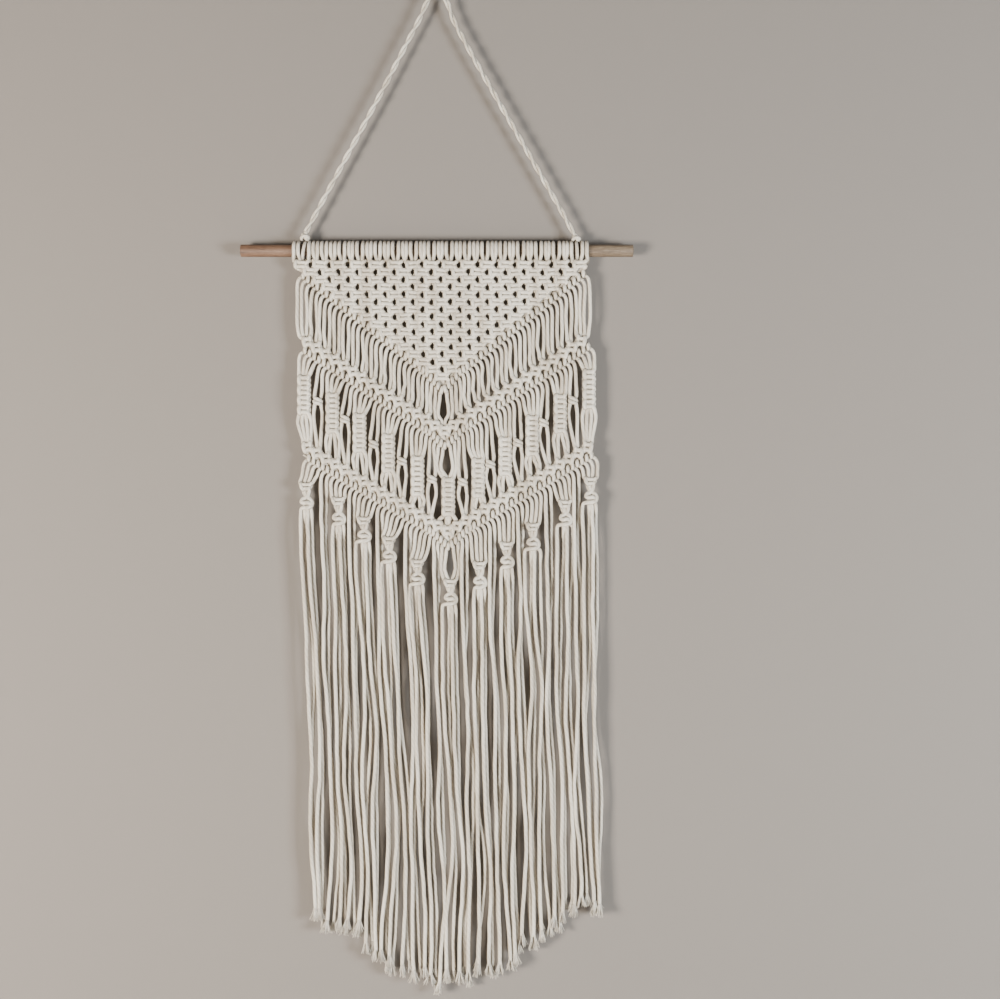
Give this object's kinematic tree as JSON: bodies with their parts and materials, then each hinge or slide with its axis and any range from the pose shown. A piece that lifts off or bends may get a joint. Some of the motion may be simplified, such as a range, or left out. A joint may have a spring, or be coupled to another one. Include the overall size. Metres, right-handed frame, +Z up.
{
  "type": "macrame wall hanging on a dowel",
  "caption": "Knotted cotton cord hanging on a plain wooden dowel: a pointed net, hitched bars, short braids, knot clusters, long fringe and a twisted hanging cord.",
  "frame": {"origin": "underside of the hanging cord at the top of its loop, where a hook or nail carries it", "axes": "+Z up, +X along the dowel towards the viewer's right, -Y out of the wall towards the viewer, +Y towards the wall"},
  "size_m": [0.305, 0.016, 0.7796],
  "materials": {
    "cotton": "matte twisted cotton cord",
    "dowel": "bare sanded wood"
  },
  "bodies": {
    "root": {"dowel": "dowel", "hanger_cord": "cotton", "hanger_tie_left": "cotton", "hanger_tie_right": "cotton", "knotted_panel": "cotton", "fringe": "cotton"}
  },
  "joints": []
}
